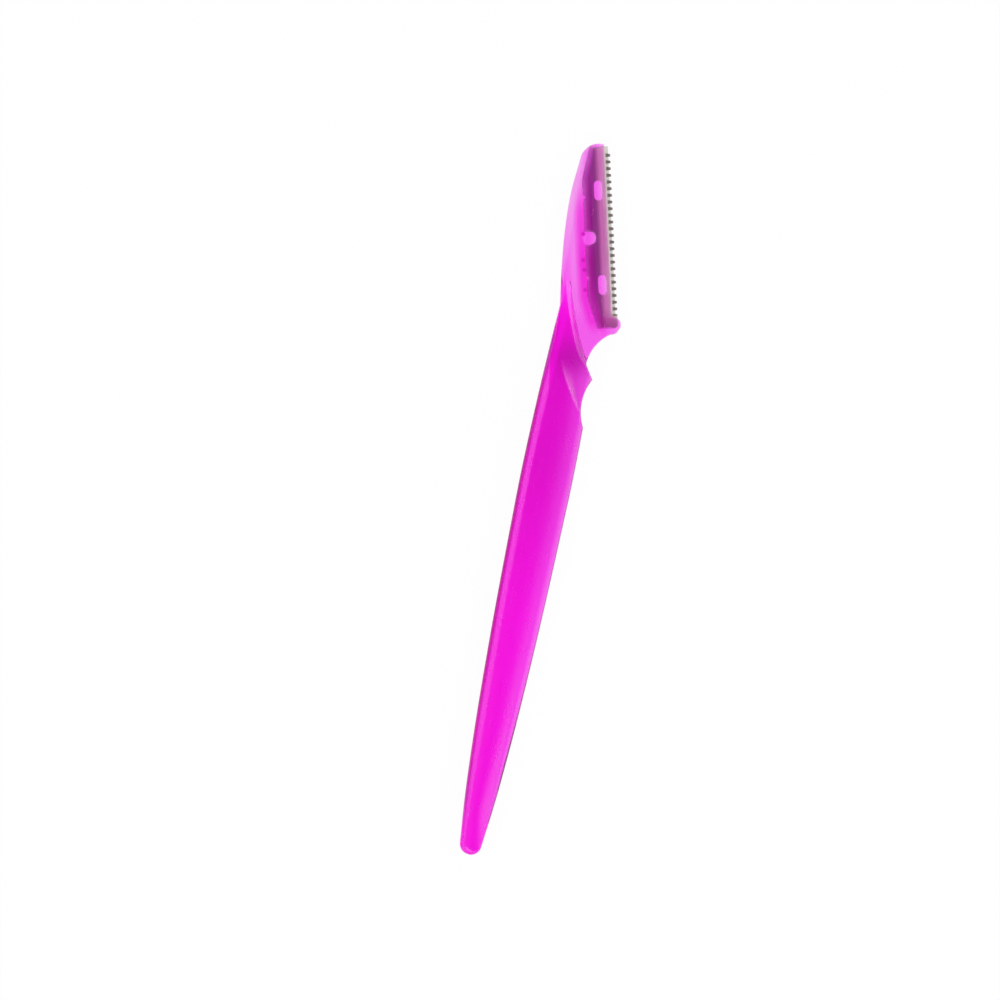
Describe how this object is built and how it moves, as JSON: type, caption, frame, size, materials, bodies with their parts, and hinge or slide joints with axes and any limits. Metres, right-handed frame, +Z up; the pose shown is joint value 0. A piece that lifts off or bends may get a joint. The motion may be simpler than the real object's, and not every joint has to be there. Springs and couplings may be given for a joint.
{
  "type": "eyebrow razor",
  "caption": "Slim tapered eyebrow razor: a see-through tinted plastic handle and head moulded around a slanting steel blade whose edge is covered by a toothed skin guard.",
  "frame": {"origin": "middle of the razor's footprint, on the flat back that it lies on", "axes": "+Y along the handle from the tail to the head, +X towards the cutting edge, +Z up out of the front face"},
  "size_m": [0.0158, 0.15, 0.0046],
  "materials": {
    "tinted_plastic": "moulded, see-through magenta polypropylene, polished",
    "blade_steel": "rolled stainless strip with a ground edge",
    "guard_steel": "folded stainless foil"
  },
  "bodies": {
    "root": {"handle": "tinted_plastic", "blade": "blade_steel", "skin_guard": "guard_steel"}
  },
  "joints": []
}
